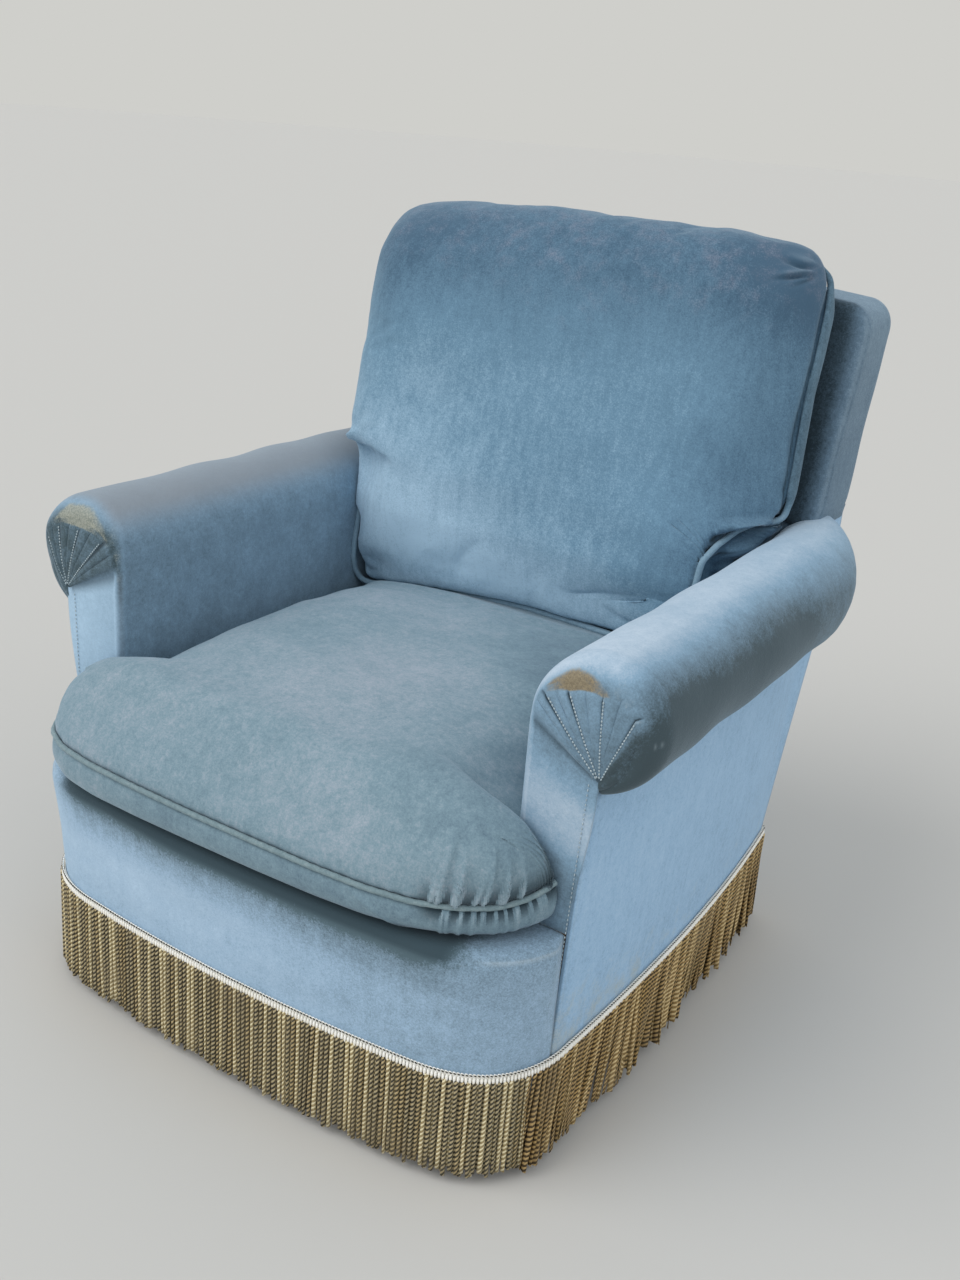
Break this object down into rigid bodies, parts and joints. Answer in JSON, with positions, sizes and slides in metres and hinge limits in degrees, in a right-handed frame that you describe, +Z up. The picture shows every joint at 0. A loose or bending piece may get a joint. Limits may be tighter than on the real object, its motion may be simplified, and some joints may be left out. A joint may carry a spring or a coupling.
{
  "type": "upholstered armchair",
  "caption": "Old low armchair with rolled arms, loose seat and back cushions in worn blue velvet, and a bullion fringe round the base.",
  "frame": {"origin": "on the floor, under the middle of the chair's overall width and depth", "axes": "+Z up, the front of the chair towards -Y, +X to the right of someone facing the front"},
  "size_m": [0.8336, 0.918, 0.9285],
  "materials": {
    "velvet": "worn cut-pile velvet, dusty blue, soiled and rubbed",
    "piping_velvet": "cord covered with the same velvet, rubbed paler",
    "beech": "plain sawn beech, unfinished",
    "stained_beech": "turned, stained dark and polished",
    "jute": "woven jute webbing",
    "hessian": "coarse woven hessian",
    "hair_stuffing": "curled hair and wadding",
    "spring_steel": "plain drawn spring wire",
    "calico": "black dust cloth",
    "fringe_cotton": "twisted cotton cords, cream and grey-olive, dusty at the ends"
  },
  "bodies": {
    "root": {"arm_cover_left": "velvet", "arm_cover_right": "velvet", "arm_front_cover_left": "velvet", "arm_front_cover_right": "velvet", "arm_outside_cover_left": "velvet", "arm_outside_cover_right": "velvet", "arm_rail_left": "beech", "arm_rail_right": "beech", "arm_stuffing_left": "hair_stuffing", "arm_stuffing_right": "hair_stuffing", "arm_tack_rail_left": "beech", "arm_tack_rail_right": "beech", "back_border": "velvet", "back_cushion": "velvet", "back_cushion_piping": "piping_velvet", "back_inside_cover": "velvet", "back_outside_cover": "velvet", "back_post_left": "beech", "back_post_right": "beech", "back_rail": "beech", "back_stuffing": "hair_stuffing", "back_webbing": "jute", "corner_block_front_left": "beech", "corner_block_front_right": "beech", "corner_block_rear_left": "beech", "corner_block_rear_right": "beech", "crest_rail": "beech", "deck_cover": "velvet", "dust_cloth": "calico", "foot_front_left": "stained_beech", "foot_front_right": "stained_beech", "foot_rear_left": "stained_beech", "foot_rear_right": "stained_beech", "fringe_back": "fringe_cotton", "fringe_front": "fringe_cotton", "fringe_left": "fringe_cotton", "fringe_right": "fringe_cotton", "front_border_cover": "velvet", "front_lip_roll": "hair_stuffing", "front_post_left": "beech", "front_post_right": "beech", "front_rail": "beech", "lower_back_rail": "beech", "seat_cushion": "velvet", "seat_cushion_piping": "piping_velvet", "seat_spring_1": "spring_steel", "seat_spring_2": "spring_steel", "seat_spring_3": "spring_steel", "seat_spring_4": "spring_steel", "seat_spring_5": "spring_steel", "seat_spring_6": "spring_steel", "seat_spring_7": "spring_steel", "seat_spring_8": "spring_steel", "seat_spring_9": "spring_steel", "seat_stuffing": "hair_stuffing", "seat_webbing": "jute", "side_rail_left": "beech", "side_rail_right": "beech", "spring_hessian": "hessian"}
  },
  "joints": []
}
